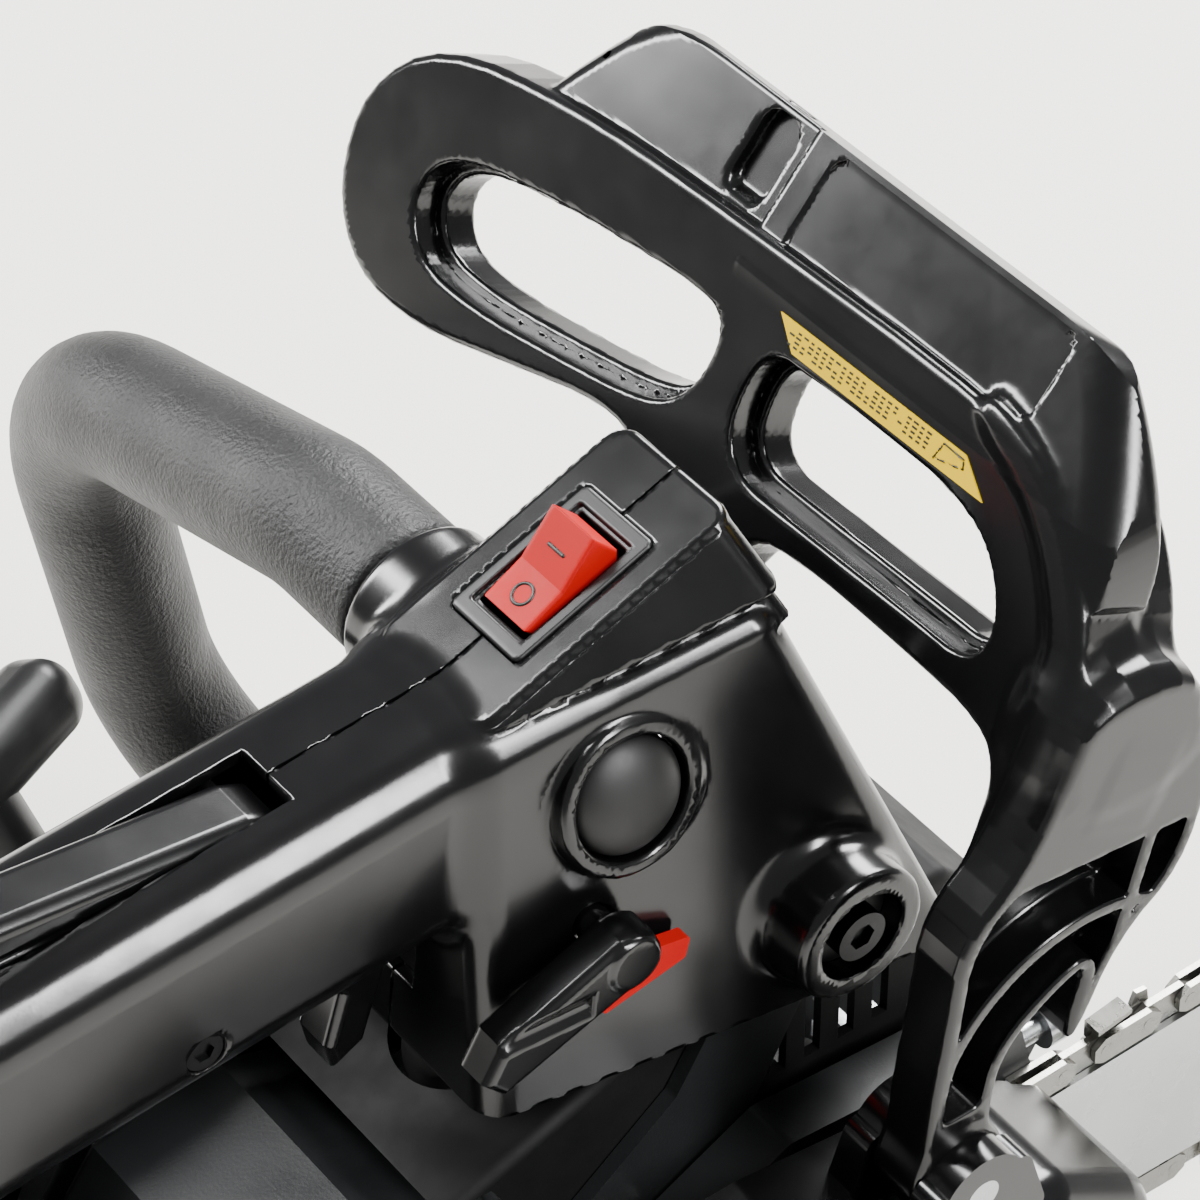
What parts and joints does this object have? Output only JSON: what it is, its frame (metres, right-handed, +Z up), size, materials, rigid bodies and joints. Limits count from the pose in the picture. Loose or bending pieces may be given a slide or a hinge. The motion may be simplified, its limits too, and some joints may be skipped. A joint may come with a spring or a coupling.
{
  "type": "top-handle chain saw",
  "caption": "Small petrol chain saw with a top handle, rocker switch, choke lever, front loop handle, folding hand guard, guide bar and chain.",
  "frame": {"origin": "on the base plane, straight below the crankshaft's axis, midway between the crankcase's sides", "axes": "+X along the guide bar towards its nose, +Y to the starter side, +Z up"},
  "size_m": [0.5066, 0.2277, 0.2285],
  "materials": {
    "die_cast_alloy": "die-cast, satin",
    "housing_nylon": "moulded glass-filled nylon, semi-gloss black",
    "cover_nylon": "moulded nylon, satin black",
    "trigger_nylon": "moulded nylon, grey",
    "switch_red": "moulded ABS, red",
    "soft_rubber": "moulded, matte",
    "steel": "machined",
    "alloy_tube": "drawn tube",
    "pressed_steel": "heat-proof black paint",
    "label_yellow": "printed film",
    "braided_cord": "braided"
  },
  "bodies": {
    "saw_body": {"crankcase_right": "die_cast_alloy", "crankcase_left": "die_cast_alloy", "main_bearings": "steel", "cylinder": "die_cast_alloy", "spark_plug": "steel", "spark_plug_boot": "soft_rubber", "ignition_coil": "cover_nylon", "clutch_drum": "steel", "oil_pump": "cover_nylon", "brake_band": "steel", "muffler": "pressed_steel", "heat_shield": "pressed_steel", "intake_manifold": "soft_rubber", "carburettor": "die_cast_alloy", "air_filter": "cover_nylon", "cylinder_cover": "cover_nylon", "starter_housing": "cover_nylon", "clutch_cover": "cover_nylon", "fuel_tank": "cover_nylon", "oil_tank": "cover_nylon", "chain_drive_links": "steel", "chain_side_links": "steel", "guide_bar": "steel", "studs": "steel", "bar_nuts": "steel", "bumper_spikes": "steel", "cap_screws": "steel", "chain_catcher": "cover_nylon", "recoil_spring": "steel", "handle_right": "housing_nylon", "handle_left": "housing_nylon", "switch_bezel": "housing_nylon", "pivot_pins": "steel", "front_handle": "alloy_tube", "front_handle_grip": "soft_rubber", "tube_clamp": "cover_nylon", "av_bushes": "soft_rubber", "rear_springs": "steel"},
    "crank": {"crankshaft": "steel", "flywheel": "die_cast_alloy", "clutch_shoes": "steel"},
    "piston_set": {"piston": "alloy_tube", "connecting_rod": "steel", "rod_pins": "steel"},
    "pulley": {"starter_pulley": "cover_nylon"},
    "pull_grip": {"starter_grip": "cover_nylon", "starter_rope": "braided_cord"},
    "guard": {"hand_guard": "housing_nylon", "guard_label": "label_yellow"},
    "trigger": {"throttle_trigger": "trigger_nylon"},
    "throttle_valve": {"throttle_shaft": "steel"},
    "lockout": {"throttle_lockout": "housing_nylon"},
    "switch": {"rocker_switch": "switch_red"},
    "choke": {"choke_lever": "housing_nylon", "choke_link": "switch_red"},
    "choke_valve": {"choke_shaft": "steel"},
    "primer": {"primer_bulb": "soft_rubber"},
    "fuel_filler_cap": {"fuel_cap": "cover_nylon"},
    "oil_filler_cap": {"oil_cap": "cover_nylon"},
    "tensioner": {"tension_screw": "steel"}
  },
  "joints": [
    {"name": "crank_spin", "type": "hinge", "parent": "saw_body", "child": "crank", "pos_m": [0, 0, 0.058], "axis": [0, 1, 0], "continuous": true},
    {"name": "piston_stroke", "type": "slide", "parent": "saw_body", "child": "piston_set", "axis": [0.866, 0, 0.5], "range_m": [-0.028, 0]},
    {"name": "starter_pull", "type": "slide", "parent": "saw_body", "child": "pull_grip", "axis": [-0.2201, 0.4202, 0.8804], "range_m": [0, 0.35], "stiffness_N_per_m": 20, "springref_m": -0.03, "deforming": ["starter_rope"]},
    {"name": "pulley_spin", "type": "hinge", "parent": "saw_body", "child": "pulley", "pos_m": [0, 0.055, 0.058], "axis": [0, 1, 0], "range_deg": [-1000, 1000]},
    {"name": "guard_brake", "type": "hinge", "parent": "saw_body", "child": "guard", "pos_m": [0.066, -0.063, 0.108], "axis": [0, 1, 0], "range_deg": [0, 22]},
    {"name": "trigger_pull", "type": "hinge", "parent": "saw_body", "child": "trigger", "pos_m": [0.004, 0, 0.155], "axis": [0, 1, 0], "range_deg": [0, 18], "stiffness_Nm_per_rad": 0.12, "springref_deg": -11.46},
    {"name": "throttle_turn", "type": "hinge", "parent": "saw_body", "child": "throttle_valve", "pos_m": [0.0265, 0, 0.126], "axis": [0, 1, 0], "range_deg": [0, 74.5]},
    {"name": "lockout_press", "type": "hinge", "parent": "saw_body", "child": "lockout", "pos_m": [-0.016, 0, 0.178], "axis": [0, -1, 0], "range_deg": [0, 7], "stiffness_Nm_per_rad": 0.4, "springref_deg": -5.73},
    {"name": "switch_rock", "type": "hinge", "parent": "saw_body", "child": "switch", "pos_m": [0.04073, 0, 0.19414], "axis": [0, 1, 0], "range_deg": [0, 20]},
    {"name": "choke_turn", "type": "hinge", "parent": "saw_body", "child": "choke", "pos_m": [0.0295, -0.03, 0.149], "axis": [0, 1, 0], "range_deg": [0, 45]},
    {"name": "choke_shutter_turn", "type": "hinge", "parent": "saw_body", "child": "choke_valve", "pos_m": [0.0265, 0, 0.1385], "axis": [0, 1, 0], "range_deg": [0, 75.5]},
    {"name": "primer_press", "type": "slide", "parent": "saw_body", "child": "primer", "axis": [0, 0.9703, -0.2419], "range_m": [0, 0.004], "stiffness_N_per_m": 400, "springref_m": -0.001},
    {"name": "fuel_cap_turn", "type": "hinge", "parent": "saw_body", "child": "fuel_filler_cap", "pos_m": [-0.104, 0.036, 0.05], "axis": [0, 1, 0], "range_deg": [-90, 0]},
    {"name": "oil_cap_turn", "type": "hinge", "parent": "saw_body", "child": "oil_filler_cap", "pos_m": [0.086, 0.056, 0.042], "axis": [0, 1, 0], "range_deg": [-90, 0]},
    {"name": "tensioner_turn", "type": "hinge", "parent": "saw_body", "child": "tensioner", "pos_m": [0.088, -0.035, 0.082], "axis": [1, 0, 0], "continuous": true}
  ],
  "couplings": [
    {"joint": "pulley_spin", "follows": "starter_pull", "rad_per_m": 45},
    {"joint": "throttle_turn", "follows": "trigger_pull", "ratio": 4.1},
    {"joint": "choke_shutter_turn", "follows": "choke_turn", "ratio": 1.6667}
  ]
}
